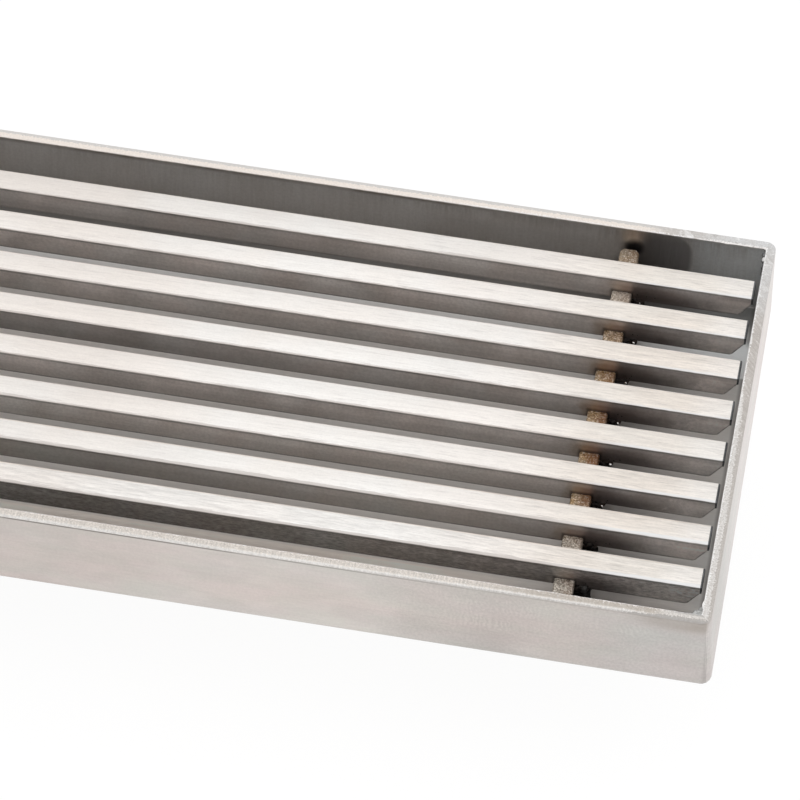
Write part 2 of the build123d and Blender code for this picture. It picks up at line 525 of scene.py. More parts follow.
# walls of the tray, outside: satin sheet, cloudy from handling
wallLook = {
    "grey": (0.545, 0.508, 0.483),
    "pale": (0.685, 0.638, 0.604),
    "shares": (0.5, 0.3, 0.2),
    "grain": (90.0, 90.0, 2600.0),
    "drawnOut": (0.5, 0.5, 1.4),
    "clouds": 40.0,
    "smallClouds": 190.0,
    "warm": (1.005, 0.945, 0.945),
    "warmShare": 0.8,
    "cool": (0.955, 1.0, 0.975),
    "coolShare": 0.6,
    "middle": (150.0, 225.0, 1.0, 1.1),
    "dullFrom": 225.0,
    "dullTone": 0.96,
    "ends": (272.0, 290.0),
    "endTone": (0.985, 1.0, 1.02),
    "onEnd": (-1.0, -0.2),
    "endLightAcross": (-50.0, 10.0, 0.86, 1.07),
    "patch": (230.0, 250.0, 258.0, 268.0),
    "patchUpward": (33.0, 45.0, 1.0, 0.45),
    "patchTone": 0.9,
    "grit": 1700.0,
    "grittyEnds": (226.0, 244.0),
    "gritDark": (0.975, 0.95),
    "gritLight": (1.025, 1.05),
    "arcs": [((272.5, -50.0, 40.0), 11.0, 6.0), ((220.0, -50.0, 43.0), 38.0, 15.0)],
    "arcRipple": {"Scale": 330.0, "Distortion": 9.0, "Detail": 2.0, "Detail Scale": 1.2},
    "arcHeight": (3.0, 9.0, 1.0, 0.0),
    "arcBreaks": (0.3, 0.7),
    "arcTone": (0.945, 1.045),
    "stain": (0.42, 0.375, 0.335),
    "stainEnds": (280.0, 294.0),
    "stainUpward": (45.0, 48.5),
    "stainShares": (0.5, 0.9),
    "line": (0.20, 0.185, 0.17),
    "lineBand": (49.2, 49.38, 49.6, 49.72),
    "lineAlong": (185.0, 265.0, 0.8, 0.25),
    "lineBreaks": (0.0, 0.5, 0.35, 1.0),
    "longWallTone": 1.0,
    "endWallLight": 1.32,
    "roughness": (0.36, 0.5),
    "depth": 0.03 * mm,
}


# faint arcs left by a polishing pad, to the right of their middle
def polishArcs(where, spot, colour, breaks):
    look = wallLook
    for middle, reach, spread in look["arcs"]:
        centred = moved(where, [-part * mm for part in middle])
        values = {"Vector": centred, **look["arcRipple"]}
        ripple = addNode("ShaderNodeTexWave", values, wave_type="RINGS", rings_direction="Y").outputs[1]
        beside = band(minus(spot.x, middle[0]), reach - spread, reach, reach, reach + spread)
        above = mathNode("ABSOLUTE", minus(spot.z, middle[2]))
        faint = times(beside, ramp(above, *look["arcHeight"]), ramp(breaks, *look["arcBreaks"]))
        colour = brighten(colour, between(ripple, *look["arcTone"]), faint)
    return colour


def wall(where, brightness):
    look = wallLook
    spot = inMillimetres(where)
    grain = streaks(where, look["grain"])
    drawn = addNode("ShaderNodeMapping", {"Vector": where, "Scale": look["drawnOut"]}).outputs[0]
    cloud, hue = clouds(drawn, look["clouds"])
    smallCloud, smallHue = clouds(drawn, look["smallClouds"])
    colour = mixColour(blend((cloud, smallCloud, grain), look["shares"]), look["grey"], look["pale"])
    colour = tint(times(hue, look["warmShare"]), colour, look["warm"])
    colour = tint(times(smallHue, look["coolShare"]), colour, look["cool"])
    # tones along the walls, times the brightness, which on the end walls is painted light, and painted light
    # across the end walls, darker towards the near side
    dullEnds = ramp(spot.out, look["dullFrom"], rimHalf / mm)
    along = between(dullEnds, ramp(spot.out, *look["middle"]), look["dullTone"])
    colour = brighten(colour, times(along, brightness))
    colour = tint(ramp(spot.out, *look["ends"]), colour, look["endTone"])
    onEnd = ramp(minus(spot.out, rimHalf / mm), *look["onEnd"])
    colour = brighten(colour, ramp(spot.y, *look["endLightAcross"]), onEnd)
    patch = times(band(spot.out, *look["patch"]), ramp(spot.z, *look["patchUpward"]))
    colour = brighten(colour, look["patchTone"], patch)
    # fine grit, stronger towards the ends, and the polishing
    gritty = ramp(spot.out, *look["grittyEnds"])
    specks = grit(where, look["grit"])["Grit"]
    dark, light = between(gritty, *look["gritDark"]), between(gritty, *look["gritLight"])
    colour = brighten(colour, between(specks, dark, light))
    colour = polishArcs(where, spot, colour, smallCloud)
    # dull, warm stain under the rim beside the welded corners
    stain = times(ramp(spot.out, *look["stainEnds"]), ramp(spot.z, *look["stainUpward"]), inverse(onEnd))
    colour = mixColour(times(stain, between(smallCloud, *look["stainShares"])), colour, look["stain"])
    # thin shadow line under the ground edge of the rim, broken and fading towards the ends
    line = times(band(spot.z, *look["lineBand"]), ramp(spot.out, *look["lineAlong"]))
    colour = mixColour(times(line, ramp(smallCloud, *look["lineBreaks"])), colour, look["line"])
    return colour, between(cloud, *look["roughness"]), grain, look["depth"]


# walls of the tray, inside, with dark marks beside the supports' ends and painted shade under the rim
insideLook = {
    "grey": (0.54, 0.525, 0.51),
    "pale": (0.66, 0.65, 0.64),
    "shares": (0.45, 0.55),
    "grain": (1000.0, 1000.0, 70.0),
    "clouds": 60.0,
    "grit": 1500.0,
    "gritTone": (0.96, 1.04),
    "warm": (0.97, 0.94, 0.92),
    "warmShare": 0.3,
    "ends": (280.0, 286.0),
    "endTone": (1.26, 1.34, 1.39),
    "dull": (220.0, 236.0, 260.0, 268.0),
    "dullUpward": (44.5, 47.0, 1.0, 0.0),
    "dullTone": 0.87,
    "longWall": (46.5, 47.3),
    "brown": (0.42, 0.33, 0.30),
    "brownShare": 0.3,
    "brownBand": (-3.5, -0.5, 2.0, 5.0),
    "brownUpward": (46.2, 47.8),
    "mark": (0.33, 0.322, 0.325),
    "markMiddle": 43.5,
    "markBow": 0.0024,
    "markLean": -0.8,
    "markStart": (-37.0, -33.0),
    "markEnd": (11.9, 13.0, 1.0, 0.0),
    "markUpward": (47.2, 49.6, 0.95, 0.6),
    "core": (0.07, 0.068, 0.075),
    "coreMiddle": (0.8, 44.6),
    "coreSquash": (1.2, 0.8),
    "coreReach": (0.6, 7.5, 0.95, 0.0),
    "rimShade": (0.26, 0.235, 0.21),
    "hairs": (1300.0, 1300.0, 90.0),
    "hairShares": (0.15, 1.0),
    "patches": 110.0,
    "patchShares": (0.15, 0.9),
    "hangUpward": (43.5, 49.8),
    "hangAlong": (180.0, 240.0, 0.4, 0.7),
    "lineUpward": (48.3, 49.5),
    "lineShares": (0.45, 1.0),
    "lineAlong": (225.0, 255.0, 1.0, 0.4),
    "roughness": (0.34, 0.46),
    "depth": 0.03 * mm,
}


def innerWall(where):
    look = insideLook
    spot = inMillimetres(where)
    offset = heat(where)["Offset"]
    upright, cloud, colour = brushedSteel(where, look)
    colour = brighten(colour, between(grit(where, look["grit"])["Grit"], *look["gritTone"]))
    colour = tint(ramp(spot.out, *look["ends"]), colour, look["endTone"])
    dull = times(band(spot.out, *look["dull"]), ramp(spot.z, *look["dullUpward"]))
    colour = brighten(colour, look["dullTone"], dull)
    # brown tint over the support's end
    onLongWall = ramp(spot.aside, *look["longWall"])
    brown = times(onLongWall, band(offset, *look["brownBand"]), ramp(spot.z, *look["brownUpward"]))
    colour = mixColour(times(brown, look["brownShare"]), colour, look["brown"])
    # dark mark beside it, which reaches less far above and below its middle
    rise = minus(spot.z, look["markMiddle"])
    start = ramp(timesPlus(spot.z, look["markLean"], offset), *look["markStart"])
    end = ramp(timesPlus(times(rise, rise, rise, rise), look["markBow"], offset), *look["markEnd"])
    colour = mixColour(times(onLongWall, start, end, ramp(spot.z, *look["markUpward"])), colour, look["mark"])
    # painted shade at the support's end: black core of the mark
    across = minus(offset, look["coreMiddle"][0])
    above = minus(spot.z, look["coreMiddle"][1])
    fromCore = blend((times(across, across), times(above, above)), look["coreSquash"])
    colour = mixColour(times(onLongWall, ramp(fromCore, *look["coreReach"])), colour, look["core"])
    # painted shade under the rim, in streaks that hang from it, and a darker line under it
    hairs = between(streaks(where, look["hairs"]), *look["hairShares"])
    patch = clouds(where, look["patches"])["Cloud"]
    hanging = times(ramp(spot.z, *look["hangUpward"]), hairs, between(patch, *look["patchShares"]))
    hanging = times(hanging, ramp(spot.out, *look["hangAlong"]))
    line = times(ramp(spot.z, *look["lineUpward"]), between(patch, *look["lineShares"]))
    line = times(line, ramp(spot.out, *look["lineAlong"]))
    colour = mixColour(highest(hanging, line), colour, look["rimShade"])
    return colour, between(cloud, *look["roughness"]), upright, look["depth"]


# floor of the tray, dull cloudy sheet, darker beside the welds, with painted shade at the far wall and
# painted light along the far strip and the near side
floorLook = {
    "grey": (0.52, 0.505, 0.485),
    "pale": (0.68, 0.665, 0.645),
    "shares": (0.3, 0.7),
    "grain": (12.0, 600.0, 600.0),
    "clouds": 42.0,
    "warm": (0.97, 0.93, 0.9),
    "warmShare": 0.3,
    "along": (266.0, 280.0, 1.2, 1.0),
    "litStrip": (0.87, 0.865, 0.86),
    "stripBand": (27.8, 28.4, 36.0, 39.0),
    "stripAlong": (278.0, 292.0, 0.6, 0.95),
    "stripShares": (0.7, 1.0),
    "supportDark": (0.34, 0.325, 0.31),
    "supportDarkBand": (0.0, 2.0, 8.0, 18.0),
    "supportDarkShare": 0.6,
    "farShade": (40.0, 43.5, 1.0, 0.45),
    "glow": (-32.8, -31.0, 1.42, 0.92),
    "endGlow": (-32.8, -31.0, 1.12, 0.95),
    "glowEnds": (235.0, 274.0),
    "glowLimit": (-30.8, -29.0),
    "nearTone": (1.0, 0.965, 0.93),
    "nearSide": (-32.6, -30.9, 1.0, 0.0),
    "nearAlong": (245.0, 270.0, 1.0, 0.15),
    "line": (0.16, 0.15, 0.14),
    "lineStart": (295.9, 296.7),
    "lineShares": (0.55, 0.0),
    "roughness": (0.32, 0.46),
    "depth": 0.03 * mm,
}


def trayFloor(where):
    look = floorLook
    spot = inMillimetres(where)
    grain, cloud, colour = brushedSteel(where, look)
    colour = brighten(colour, ramp(spot.out, *look["along"]))
    # painted light: a paler strip along the far side, sharp towards the middle and palest at the ends
    litStrip = band(spot.y, *look["stripBand"])
    pale = times(litStrip, ramp(spot.out, *look["stripAlong"]), between(cloud, *look["stripShares"]))
    colour = mixColour(pale, colour, look["litStrip"])
    # darker beside the supports, on the side of the welds
    supportDark = band(heat(where)["Offset"], *look["supportDarkBand"])
    colour = mixColour(times(supportDark, inverse(litStrip), look["supportDarkShare"]), colour, look["supportDark"])
    # painted shade along the far wall
    colour = brighten(colour, ramp(spot.y, *look["farShade"]))
    # painted light along the near side, weaker towards the ends
    middleGlow, endGlow = ramp(spot.y, *look["glow"]), ramp(spot.y, *look["endGlow"])
    glow = between(ramp(spot.out, *look["glowEnds"]), middleGlow, endGlow)
    colour = brighten(colour, between(ramp(spot.y, *look["glowLimit"]), glow, 1.0))
    warm = times(ramp(spot.y, *look["nearSide"]), ramp(spot.out, *look["nearAlong"]))
    colour = tint(warm, colour, look["nearTone"])
    # dark line at the end walls
    line = times(ramp(spot.out, *look["lineStart"]), between(litStrip, *look["lineShares"]))
    colour = mixColour(line, colour, look["line"])
    return colour, between(cloud, *look["roughness"]), grain, look["depth"]


# ground rim: two tones across its width, which shift along it
# widths are shares of the sheet's thickness, 0 at the outer edge and 1 at the inner one
rimLook = {
    "grains": 2700.0,
    "clouds": 150.0,
    "raggedClouds": 700.0,
    "raggedness": (0.1, 0.14),
    "scratch": (260.0, 1500.0, 260.0),
    "scratchTurn": (0.0, 0.0, 0.9),
    "ground": (2100.0, 240.0, 240.0),
    "white": (0.86, 0.838, 0.815),
    "grey": (0.68, 0.64, 0.61),
    "bevel": (0.50, 0.48, 0.465),
    "frost": (0.76, 0.765, 0.77),
    "pit": (0.36, 0.33, 0.30),
    "glint": (0.98, 0.975, 0.97),
    "endGrey": (0.62, 0.585, 0.555),
    "mottle": 420.0,
    "mottleDepth": (0.45, 0.85),
    "tarnish": (0.6, 1.0, 0.0, 0.5),
    "pitEnds": (268.0, 284.0),
    "pitShares": (0.18, 0.34),
    "pitNear": 0.48,
    "pitOuterLine": 0.5,
    "sparkleDull": (0.15, 0.5),
    "sparkleBright": (0.6, 0.9),
    "sparkleWidth": (0.08, 0.3),
    "dressedWidth": (0.86, 0.97),
    "dressedShares": (0.4, 0.9),
    "dressedMiddle": (215.0, 245.0, 1.0, 0.0),
    "dressedTone": 0.3,
    "scratchRelief": 0.6,
    "roughness": (0.38, 0.55),
    "depth": 0.05 * mm,
}


# fields that the sides of the rim share
def rimFields(where):
    look = rimLook
    field = inMillimetres(where)
    field.grit, field.glint = grit(where, look["grains"])
    field.cloud = clouds(where, look["clouds"])["Cloud"]
    field.mottle, field.tarnish = clouds(where, look["mottle"])
    field.scratch = streaks(turned(where, look["scratchTurn"]), look["scratch"])
    field.ground = streaks(where, look["ground"])
    fromSide = minus(trayHigh.y / mm, field.aside)
    fromEnd = minus(rimHalf / mm, field.out)
    field.inward = times(mathNode("MINIMUM", fromSide, fromEnd), mm / sheet)
    field.isEnd = mathNode("LESS_THAN", fromEnd, fromSide)
    field.isNear = mathNode("LESS_THAN", field.y, 0.0)
    raggedBy, grainyBy = look["raggedness"]
    ragged = minus(clouds(where, look["raggedClouds"])["Cloud"], 0.5)
    grainy = timesPlus(minus(field.grit, 0.5), grainyBy, field.inward)
    field.wavy = timesPlus(ragged, raggedBy, grainy)
    return field


# painted glints and tarnished specks in the frosted stretches
def frostSpecks(field, colour, frosted, brightShare):
    bright = ramp(field.mottle, *rimLook["mottleDepth"], 0.0, brightShare)
    colour = mixColour(times(frosted, bright), colour, rimLook["glint"])
    return mixColour(times(frosted, ramp(field.tarnish, *rimLook["tarnish"])), colour, rimLook["bevel"])


# along the far side: grey outside, cream inside, frosted towards the corner
farRimLook = {
    "outer": (0.70, 0.68, 0.66),
    "inner": (0.92, 0.845, 0.78),
    "split": (0.35, 0.55),
    "frostEnds": (272.0, 284.0),
    "frostWidth": (0.98, 0.86),
    "cloudShare": 0.45,
    "greyBand": (273.0, 278.0, 282.0, 289.0),
    "greyShare": 0.7,
    "specks": 0.7,
}


def farRim(field):
    look = farRimLook
    colour = mixColour(ramp(field.wavy, *look["split"]), look["outer"], look["inner"])
    frosted = times(ramp(field.out, *look["frostEnds"]), ramp(field.wavy, *look["frostWidth"]))
    colour = mixColour(frosted, colour, rimLook["frost"])
    colour = mixColour(times(frosted, inverse(field.cloud), look["cloudShare"]), colour, rimLook["grey"])
    greyed = times(band(field.out, *look["greyBand"]), look["greyShare"])
    colour = mixColour(greyed, colour, rimLook["endGrey"])
    return frostSpecks(field, colour, frosted, look["specks"])


# along the near side: sparkling cream with a painted highlight along the outer edge and painted light across
# its width, then brown-grey across the grinding
nearRimLook = {
    "cream": (0.80, 0.745, 0.69),
    "split": (0.12, 0.34),
    "litInside": (0.64, 0.82),
    "litOutside": (0.46, 0.28),
    "litTone": 1.07,
    "unlitTone": (245.0, 262.0, 1.02, 0.96),
    "groundTone": (0.86, 1.08),
    "edgeShadeEnds": (226.0, 244.0),
    "edgeShadeWidth": (0.14, 0.02),
    "edgeShadeShare": 0.45,
    "brown": (0.59, 0.535, 0.475),
    "brownBand": (252.0, 268.0, 288.0, 292.0),
    "brownWidth": (0.22, 0.42, 0.78, 0.92),
    "brownShare": 0.9,
    "groundLight": (0.4, 1.0),
    "groundShare": 0.3,
    "cornerSplit": (279.0, 294.0, -0.1, 0.4),
    "cornerSoft": (-0.07, 0.07),
    "cornerEnds": (288.0, 291.5),
    "cornerShares": (0.6, 0.9),
    "seam": (0.44, 0.435, 0.425),
    "seamEnds": (290.0, 295.0),
    "seamWidth": (0.66, 0.84),
    "seamShare": 0.8,
    "lineBand": (195.0, 215.0, 280.0, 286.0),
    "lineFade": (248.0, 262.0, 1.0, 0.6),
    "lineWidth": (0.02, 0.12, 0.24, 0.38),
}


def nearRim(field):
    look = nearRimLook
    colour = mixColour(ramp(field.wavy, *look["split"]), rimLook["white"], look["cream"])
    lit = highest(ramp(field.inward, *look["litInside"]), ramp(field.inward, *look["litOutside"]))
    colour = brighten(colour, between(lit, ramp(field.out, *look["unlitTone"]), look["litTone"]))
    colour = brighten(colour, between(field.ground, *look["groundTone"]))
    # painted shade on the outermost rounding towards the ends
    edgeShade = times(ramp(field.out, *look["edgeShadeEnds"]), ramp(field.inward, *look["edgeShadeWidth"]))
    colour = mixColour(times(edgeShade, look["edgeShadeShare"]), colour, rimLook["bevel"])
    brown = band(field.out, *look["brownBand"])
    brownWidth = band(field.wavy, *look["brownWidth"])
    colour = mixColour(times(brown, brownWidth, look["brownShare"]), colour, look["brown"])
    hatched = times(brown, ramp(field.ground, *look["groundLight"]), look["groundShare"])
    colour = mixColour(hatched, colour, rimLook["white"])
    # and towards the corner white inside, with a grey bevel outside that widens
    innerShare, outerShare = look["cornerShares"]
    outside = ramp(minus(ramp(field.out, *look["cornerSplit"]), field.wavy), *look["cornerSoft"])
    inside = times(ramp(field.out, *look["cornerEnds"]), inverse(outside))
    colour = mixColour(times(inside, innerShare), colour, rimLook["white"])
    colour = mixColour(times(outside, outerShare), colour, rimLook["bevel"])
    seam = times(ramp(field.out, *look["seamEnds"]), ramp(field.wavy, *look["seamWidth"]), look["seamShare"])
    return mixColour(seam, colour, look["seam"])


# painted highlight along the outer edge of the near side, where the pits are fainter
def nearRimHighlight(field):
    look = nearRimLook
    along = times(field.isNear, band(field.out, *look["lineBand"]), ramp(field.out, *look["lineFade"]))
    return times(along, band(field.inward, *look["lineWidth"]))


# across the ends: white inside and scratched grey outside, the white widening towards the near corner
endRimLook = {
    "split": (-26.0, 2.0, 0.35, 0.58),
    "farSplit": (2.0, 14.0, 0.0, 0.36),
    "nearCorner": (-31.0, -28.0, 1.0, 0.0),
    "nearSplit": 0.42,
    "splitSoft": (-0.07, 0.07),
    "whiteShare": 0.85,
    "scratchDark": 0.5,
    "scratchLight": (0.7, 1.0, 0.0, 0.7),
    "scratchedFrom": (-6.0, 2.0),
    "frostFrom": (26.0, 36.0),
    "frostShares": (0.4, 1.0),
    "specks": 0.75,
}


def endRim(field):
    look = endRimLook
    split = plus(ramp(field.y, *look["split"]), ramp(field.y, *look["farSplit"]))
    split = between(ramp(field.y, *look["nearCorner"]), split, look["nearSplit"])
    inside = ramp(minus(field.wavy, split), *look["splitSoft"])
    dark = times(inverse(field.scratch), look["scratchDark"])
    scratched = mixColour(dark, rimLook["grey"], rimLook["pit"])
    scratched = mixColour(ramp(field.scratch, *look["scratchLight"]), scratched, rimLook["white"])
    colour = mixColour(ramp(field.y, *look["scratchedFrom"]), rimLook["endGrey"], scratched)
    colour = mixColour(times(inside, look["whiteShare"]), colour, rimLook["white"])
    frosted = times(ramp(field.y, *look["frostFrom"]), between(field.cloud, *look["frostShares"]))
    colour = mixColour(frosted, colour, rimLook["frost"])
    return frostSpecks(field, colour, frosted, look["specks"])


def rim(where):
    look = rimLook
    field = rimFields(where)
    colour = mixColour(field.isEnd, mixColour(field.isNear, farRim(field), nearRim(field)), endRim(field))
    # pits, and painted glints on the grains of the ground face
    towardsEnds = ramp(field.out, *look["pitEnds"])
    pitShare = between(field.isNear, between(towardsEnds, *look["pitShares"]), look["pitNear"])
    pitted = times(inverse(field.grit), pitShare, between(nearRimHighlight(field), 1.0, look["pitOuterLine"]))
    colour = mixColour(pitted, colour, look["pit"])
    dullGlints = between(field.isNear, *look["sparkleDull"])
    sparkle = between(field.cloud, dullGlints, between(towardsEnds, *look["sparkleBright"]))
    sparkle = times(field.glint, sparkle, ramp(field.inward, *look["sparkleWidth"]))
    colour = mixColour(sparkle, colour, look["glint"])
    # bright line where the inner edge was dressed
    dressed = times(ramp(field.wavy, *look["dressedWidth"]), between(field.cloud, *look["dressedShares"]))
    farMiddle = times(inverse(field.isNear), ramp(field.out, *look["dressedMiddle"]))
    dressed = times(dressed, between(farMiddle, 1.0, look["dressedTone"]))
    colour = mixColour(dressed, colour, look["glint"])
    height = plus(field.grit, times(field.scratch, look["scratchRelief"]))
    return colour, between(field.grit, *look["roughness"]), height, look["depth"]


# support bars: coarse cut tops, straw and brown from the welding in the middle of the tray
supportLook = {
    "pit": (0.28, 0.24, 0.195),
    "farPit": (0.42, 0.36, 0.30),
    "farPits": (26.0, 34.0),
    "face": (0.84, 0.775, 0.69),
    "farShade": (38.0, 41.0, 1.0, 0.8),
    "grains": 3200.0,
    "clouds": 420.0,
    "straw": (0.96, 0.72, 0.43),
    "strawBand": (-34.0, -20.0, 22.0, 36.0),
    "strawFar": (38.0, 41.0, 0.0, 0.6),
    "strawShares": (0.55, 0.9),
    "brown": (0.27, 0.125, 0.06),
    "brownBand": (-30.0, -16.0, -4.0, 28.0),
    "brownShares": (0.2, 0.85),
    "brownEdge": 1.8,
    "brownSide": (-0.6, 2.2),
    "glint": (1.0, 0.96, 0.90),
    "glintGrains": (0.78, 1.0, 0.0, 0.55),
    "glintShares": (0.95, 0.4),
    "low": (0.16, 0.13, 0.11),
    "sideShadeUpward": (-3.0, -0.5, 0.6, 0.0),
    "burnAndShade": (0.045, 0.038, 0.035),
    "weldStart": (0.0, 0.2, 0.0, 0.92),
    "roughness": (0.4, 0.62),
    "depth": 0.1 * mm,
}


def support(where):
    look = supportLook
    spot = inMillimetres(where)
    grain, glint = grit(where, look["grains"])
    cloud, hue = clouds(where, look["clouds"])
    offset = heat(where)["Offset"]
    pit = mixColour(ramp(spot.y, *look["farPits"]), look["pit"], look["farPit"])
    colour = mixColour(grain, pit, look["face"])
    colour = brighten(colour, ramp(spot.y, *look["farShade"]))
    # golden in the middle of the tray and at the far wall, brown on the side of the welds
    golden = highest(band(spot.y, *look["strawBand"]), ramp(spot.y, *look["strawFar"]))
    colour = tint(times(golden, between(hue, *look["strawShares"])), colour, look["straw"])
    weldSide = ramp(timesPlus(cloud, look["brownEdge"], offset), *look["brownSide"])
    browned = times(weldSide, between(band(spot.y, *look["brownBand"]), *look["brownShares"]))
    colour = mixColour(browned, colour, look["brown"])
    # painted glints on the grains, fewer where browned
    bright = times(highest(glint, ramp(grain, *look["glintGrains"])), between(browned, *look["glintShares"]))
    colour = mixColour(bright, colour, look["glint"])
    # painted shade down the support's sides, below its top
    colour = mixColour(ramp(minus(spot.z, supportTop / mm), *look["sideShadeUpward"]), colour, look["low"])
    # the face towards the welds painted near black, as weld burn and painted shade
    onWeld = ramp(minus(offset, supportWidth / 2 / mm), *look["weldStart"])
    colour = mixColour(onWeld, colour, look["burnAndShade"])
    return colour, between(grain, *look["roughness"]), grain, look["depth"]


# outlet spigot: tube turned round its axis
spigotLook = {
    "grey": (0.56, 0.545, 0.53),
    "pale": (0.70, 0.685, 0.665),
    "shares": (0.55, 0.45),
    "grain": (140.0, 140.0, 2400.0),
    "clouds": 55.0,
    "warm": (0.97, 0.94, 0.92),
    "warmShare": 0.3,
    "roughness": (0.32, 0.46),
    "depth": 0.03 * mm,
}


def spigot(where):
    grain, cloud, colour = brushedSteel(where, spigotLook)
    return colour, between(cloud, *spigotLook["roughness"]), grain, spigotLook["depth"]


# weld metal, each kind with its two tones and its roughness
weldLook = {
    "grains": 1900.0,
    "clouds": 500.0,
    "depth": 0.08 * mm,
    "burnt_weld": ((0.018, 0.016, 0.016), (0.08, 0.068, 0.06), (0.5, 0.7)),
    "bright_droplet": ((0.80, 0.78, 0.76), (0.97, 0.96, 0.95), (0.15, 0.25)),
    "sooty_weld": ((0.04, 0.038, 0.037), (0.11, 0.105, 0.10), (0.5, 0.7)),
    "fill_weld": ((0.42, 0.42, 0.41), (0.92, 0.92, 0.905), (0.4, 0.6)),
    "dull_weld": ((0.20, 0.20, 0.20), (0.62, 0.62, 0.625), (0.45, 0.65)),
    "seam_weld": ((0.62, 0.61, 0.60), (0.93, 0.925, 0.92), (0.35, 0.55)),
}


def weldMetal(where, dark, pale, roughness):
    grain = grit(where, weldLook["grains"])["Grit"]
    cloud = clouds(where, weldLook["clouds"])["Cloud"]
    colour = mixColour(times(cloud, grain), dark, pale)
    return colour, between(grain, *roughness), grain, weldLook["depth"]


def makeWeld(name):
    return makeSteel(name, weldMetal, *weldLook[name])


barTopSteel = makeSteel("bar_top_steel", barTop)
barSideSteel = makeSteel("bar_side_steel", barSide)
barEndShadedSteel = makeSteel("bar_end_shaded_steel", barEnd)
# the end walls take the long walls' finish made lighter, as painted light
longWallSteel = makeSteel("long_wall_steel", wall, wallLook["longWallTone"])
endWallLitSteel = makeSteel("end_wall_lit_steel", wall, wallLook["endWallLight"])
insideSteel = makeSteel("inner_wall_steel", innerWall)
trayFloorSteel = makeSteel("tray_floor_steel", trayFloor)
rimSteel = makeSteel("rim_steel", rim)
supportSteel = makeSteel("support_steel", support)
spigotSteel = makeSteel("spigot_steel", spigot)
burntWeld = makeWeld("burnt_weld")
brightDroplet = makeWeld("bright_droplet")
sootyWeld = makeWeld("sooty_weld")
fillWeld = makeWeld("fill_weld")
dullWeld = makeWeld("dull_weld")
seamWeld = makeWeld("seam_weld")
print("finishes ready")

# limits of place and facing that give a face its finish, and the smoothing of rounded edges
zoneLimits = {
    "rimDepth": 1.1 * rimRound,
    "rimFacing": 0.05,
    "sideDepth": 0.6 * sheet,
    "endDepth": 0.5 * sheet,
    "floorFacing": 0.5,
    "endFacing": 0.6,
    "barTopFacing": 0.1,
    "barEndFacing": 0.95,
    "creaseAngle": math.radians(42.0),
    "joinDistance": 0.002 * mm,
    "flatWeight": 100,
}


# hands a finish to each face of a node, by its place and the way it faces, and smooths its rounded edges
def dress(node, finishes, choose):
    part = nodes[node]
    mesh = part.data
    mesh.materials.clear()
    for finish in finishes:
        mesh.materials.append(finish)
    for face in mesh.polygons:
        face.material_index = choose(face.center, face.normal)
        face.use_smooth = True
    part.modifiers.new("join", "WELD").merge_threshold = zoneLimits["joinDistance"]
    part.modifiers.new("creases", "EDGE_SPLIT").split_angle = zoneLimits["creaseAngle"]
    part.modifiers.new("flats", "WEIGHTED_NORMAL").weight = zoneLimits["flatWeight"]


# the tray's finishes by number: 0 long walls and underside, 1 rim, 2 inner walls, 3 floor, 4 end walls
def trayZone(place, facing):
    limits = zoneLimits
    if place.z > rimTop - limits["rimDepth"] and facing.z > limits["rimFacing"]:
        return 1
    insideY = abs(place.y) < trayHigh.y - limits["sideDepth"]
    insideX = abs(place.x) < rimHalf - limits["endDepth"]
    if insideX and insideY and place.z > trayLow.z + limits["sideDepth"]:
        return 3 if facing.z > limits["floorFacing"] else 2
    return 4 if abs(facing.x) > limits["endFacing"] else 0


# and a bar's: 0 top, 1 sides and underside, 2 ends
def barZone(place, facing):
    if facing.z > zoneLimits["barTopFacing"]:
        return 0
    return 2 if abs(facing.x) > zoneLimits["barEndFacing"] else 1


def onePiece(place, facing):
    return 0


dress("channel_tray", [longWallSteel, rimSteel, insideSteel, trayFloorSteel, endWallLitSteel], trayZone)
dress("outlet_spigot", [spigotSteel], onePiece)
for name in barNames:
    dress(name, [barTopSteel, barSideSteel, barEndShadedSteel], barZone)
for name in supportNames:
    dress(name, [supportSteel], onePiece)
print("finishes handed out")


# a finished mesh becomes a piece on the one body
def addPiece(name, mesh, finishes):
    bmesh.ops.recalc_face_normals(mesh, faces=mesh.faces)
    data = bpy.data.meshes.new(name)
    mesh.to_mesh(data)
    mesh.free()
    for finish in finishes:
        data.materials.append(finish)
    piece = bpy.data.objects.new(name, data)
    scene.collection.objects.link(piece)
    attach(piece, "root")


# gives the faces round some vertices a finish and smooth shading
def paint(vertices, finish):
    for face in {face for vertex in vertices for face in vertex.link_faces}:
        face.material_index = finish
        face.smooth = True


# an uneven blob of weld metal
lumpGrain = 1.6


def addLump(mesh, centre, radii, seed, unevenness, finish=0, divisions=3):
    made = bmesh.ops.create_icosphere(mesh, subdivisions=divisions, radius=1.0)["verts"]
    for vertex in made:
        swell = 1.0 + unevenness * noise.noise(vertex.co * lumpGrain + Vector((seed, 0.3 * seed, 0.0)))
        vertex.co = Vector(part * radius * swell for part, radius in zip(vertex.co, radii)) + centre
    paint(made, finish)
    return made


